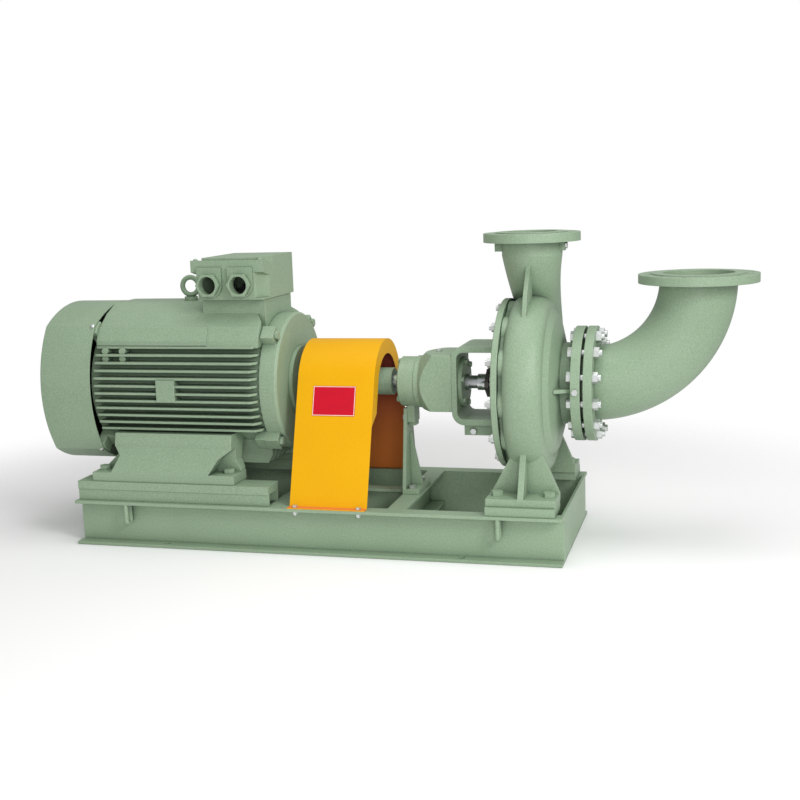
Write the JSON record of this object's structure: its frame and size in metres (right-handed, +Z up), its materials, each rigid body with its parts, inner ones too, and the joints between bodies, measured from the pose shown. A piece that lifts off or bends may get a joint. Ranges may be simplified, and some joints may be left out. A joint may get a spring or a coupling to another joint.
{
  "type": "circulating pump",
  "caption": "Horizontal end-suction circulating pump with volute casing, bearing bracket, guarded pin coupling, finned motor and suction elbow on a channel base.",
  "frame": {"origin": "centre of the anchor-bolt rectangle, on the underside of the base", "axes": "+X along the shaft from the motor to the suction, +Y away from the front, +Z up"},
  "size_m": [2.1587, 0.59, 0.93],
  "materials": {
    "paint": "semi-gloss sage green",
    "guard_paint": "semi-gloss orange",
    "steel": "ground",
    "zinc_steel": "bright zinc",
    "bare_cast_iron": "as cast",
    "laminations": "stacked sheet",
    "winding_copper": "varnished copper",
    "bronze": "machined",
    "seal_fibre": "fibre sheet",
    "black_plastic": "moulded"
  },
  "bodies": {
    "pump_set": {"beam_front": "paint", "beam_rear": "paint", "bearing_bracket": "paint", "bracket_studs": "zinc_steel", "cable_glands": "bronze", "casing_cover": "paint", "casing_gasket": "seal_fibre", "casing_wear_ring": "bronze", "centre_tie": "paint", "coupling_guard": "guard_paint", "cover_studs": "zinc_steel", "cross_channel_motor_side": "paint", "cross_channel_pump_side": "paint", "drive_bearing_cap": "paint", "drive_bearing_cover": "paint", "drive_end_shield": "paint", "elbow_flanges": "paint", "end_plates": "paint", "fan_cowl": "paint", "fan_end_shield": "paint", "gland_studs": "zinc_steel", "guard_bolts": "zinc_steel", "lifting_eye": "zinc_steel", "lifting_staples": "paint", "motor_bearing_outer_rings": "steel", "motor_foot_bolts": "zinc_steel", "motor_foot_front": "paint", "motor_foot_rear": "paint", "motor_frame": "paint", "motor_rail_front": "paint", "motor_rail_rear": "paint", "pipe_plugs": "zinc_steel", "pump_bearing_cover": "paint", "pump_bearing_outer_rings": "steel", "pump_foot_bolts": "zinc_steel", "pump_pads": "paint", "shield_bolts": "zinc_steel", "stator_core": "laminations", "stator_windings": "winding_copper", "stuffing_gland": "bare_cast_iron", "suction_elbow": "paint", "suction_flange_bolts": "zinc_steel", "suction_gasket": "seal_fibre", "support_foot": "paint", "terminal_board": "black_plastic", "terminal_box": "paint", "terminal_box_lid": "paint", "volute_casing": "paint"},
    "motor_rotor": {"motor_shaft": "steel", "rotor_core": "laminations", "cooling_fan": "black_plastic", "motor_half_coupling": "paint", "coupling_pins": "steel", "motor_bearing_inner_rings": "steel"},
    "pump_rotor": {"pump_shaft": "steel", "shaft_sleeve": "steel", "impeller": "bare_cast_iron", "impeller_nut": "zinc_steel", "pump_half_coupling": "paint", "pump_bearing_inner_rings": "steel"}
  },
  "joints": [
    {"name": "motor_spin", "type": "hinge", "parent": "pump_set", "child": "motor_rotor", "pos_m": [0, 0, 0.48], "axis": [1, 0, 0], "continuous": true},
    {"name": "pump_spin", "type": "hinge", "parent": "pump_set", "child": "pump_rotor", "pos_m": [0, 0, 0.48], "axis": [1, 0, 0], "continuous": true}
  ],
  "couplings": [
    {"joint": "pump_spin", "follows": "motor_spin", "ratio": 1}
  ]
}
